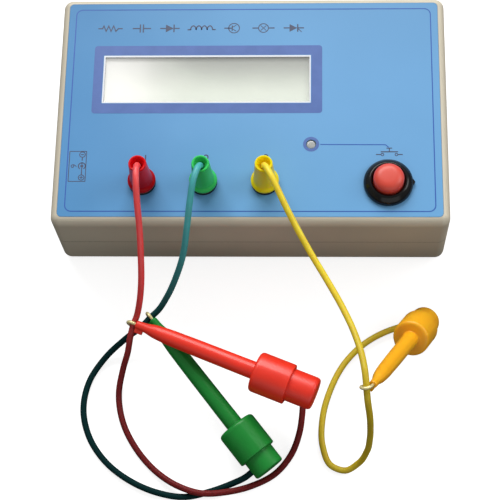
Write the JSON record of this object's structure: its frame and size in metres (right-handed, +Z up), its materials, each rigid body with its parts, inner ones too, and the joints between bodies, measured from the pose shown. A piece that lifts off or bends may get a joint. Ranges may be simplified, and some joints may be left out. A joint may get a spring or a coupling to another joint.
{
  "type": "component tester",
  "caption": "Handheld bench tester: shallow two-part case, blue panel with character display, push button, and sockets holding plug-in leads that end in sprung hook clips.",
  "frame": {"origin": "centre of the case's underside", "axes": "+X right along the case's width, +Y towards the back, +Z up out of the panel"},
  "size_m": [0.125, 0.1603, 0.0506],
  "materials": {
    "ivory_abs": "fine-textured moulded ABS",
    "label_blue": "satin printed film",
    "display_glass": "reflective grey-green display",
    "clear_film": "clear satin film",
    "steel_frame": "tinned steel",
    "white_plastic": "milky",
    "board_green": "solder mask",
    "black_plastic": "glossy moulded",
    "tinned_metal": "bright",
    "gold_metal": "gold-plated",
    "blue_sleeve": "shrunk sleeve",
    "resistor_body": "lacquered",
    "battery_jacket": "printed steel jacket",
    "led_grey": "diffused epoxy",
    "button_red": "semi-gloss moulded",
    "lead_wire": "thin insulated wire",
    "red_plug": "semi-gloss moulded",
    "green_plug": "semi-gloss moulded",
    "yellow_plug": "semi-gloss moulded",
    "red_clip": "semi-gloss moulded",
    "green_clip": "semi-gloss moulded",
    "yellow_clip": "semi-gloss moulded",
    "red_wire": "glossy PVC insulation",
    "green_wire": "glossy PVC insulation",
    "yellow_wire": "glossy PVC insulation"
  },
  "bodies": {
    "case": {"case_top": "ivory_abs", "case_bottom": "ivory_abs", "case_screws": "tinned_metal", "panel_label": "label_blue", "display_film": "clear_film", "display_glass": "display_glass", "display_bezel": "steel_frame", "display_backlight": "white_plastic", "display_board": "board_green", "display_screws": "tinned_metal", "display_header": "black_plastic", "main_board": "board_green", "board_screws": "tinned_metal", "controller_socket": "black_plastic", "controller_chip": "black_plastic", "crystal": "tinned_metal", "regulator": "black_plastic", "capacitors": "blue_sleeve", "resistors": "resistor_body", "indicator_led": "led_grey", "power_jack": "black_plastic", "power_jack_pin": "tinned_metal", "battery": "battery_jacket", "battery_snap": "black_plastic", "battery_leads": "lead_wire", "button_housing": "black_plastic", "button_nut": "tinned_metal", "button_terminals": "gold_metal", "button_leads": "lead_wire", "button_spring": "tinned_metal", "panel_sockets": "black_plastic", "socket_nuts": "tinned_metal", "socket_wires": "tinned_metal", "red_cord": "red_wire", "red_clip_cap": "red_clip", "red_clip_hook": "gold_metal", "red_clip_spring": "tinned_metal", "green_cord": "green_wire", "green_clip_cap": "green_clip", "green_clip_hook": "gold_metal", "green_clip_spring": "tinned_metal", "yellow_cord": "yellow_wire", "yellow_clip_cap": "yellow_clip", "yellow_clip_hook": "gold_metal", "yellow_clip_spring": "tinned_metal"},
    "button": {"button_cap": "button_red", "button_contact": "gold_metal"},
    "red_plug": {"red_plug_sleeve": "red_plug", "red_plug_pin": "gold_metal", "red_cord_top": "red_wire"},
    "red_barrel": {"red_clip_barrel": "red_clip"},
    "green_plug": {"green_plug_sleeve": "green_plug", "green_plug_pin": "gold_metal", "green_cord_top": "green_wire"},
    "green_barrel": {"green_clip_barrel": "green_clip"},
    "yellow_plug": {"yellow_plug_sleeve": "yellow_plug", "yellow_plug_pin": "gold_metal", "yellow_cord_top": "yellow_wire"},
    "yellow_barrel": {"yellow_clip_barrel": "yellow_clip"}
  },
  "joints": [
    {"name": "button_press", "type": "slide", "parent": "case", "child": "button", "axis": [0, 0, -1], "range_m": [0, 0.002], "stiffness_N_per_m": 500, "springref_m": -0.001, "deforming": ["button_spring"]},
    {"name": "red_plug_lift", "type": "slide", "parent": "case", "child": "red_plug", "axis": [0, 0, 1], "range_m": [0, 0.014]},
    {"name": "green_plug_lift", "type": "slide", "parent": "case", "child": "green_plug", "axis": [0, 0, 1], "range_m": [0, 0.014]},
    {"name": "yellow_plug_lift", "type": "slide", "parent": "case", "child": "yellow_plug", "axis": [0, 0, 1], "range_m": [0, 0.014]},
    {"name": "red_clip_squeeze", "type": "slide", "parent": "case", "child": "red_barrel", "axis": [0.9303, -0.3664, -0.0174], "range_m": [0, 0.00238], "stiffness_N_per_m": 300, "springref_m": -0.003, "deforming": ["red_clip_spring"]},
    {"name": "green_clip_squeeze", "type": "slide", "parent": "case", "child": "green_barrel", "axis": [0.6262, -0.7678, -0.1357], "range_m": [0, 0.00135], "stiffness_N_per_m": 300, "springref_m": -0.003, "deforming": ["green_clip_spring"]},
    {"name": "yellow_clip_squeeze", "type": "slide", "parent": "case", "child": "yellow_barrel", "axis": [0.3408, 0.5951, -0.7278], "range_m": [0, 0.0018], "stiffness_N_per_m": 300, "springref_m": -0.003, "deforming": ["yellow_clip_spring"]}
  ]
}
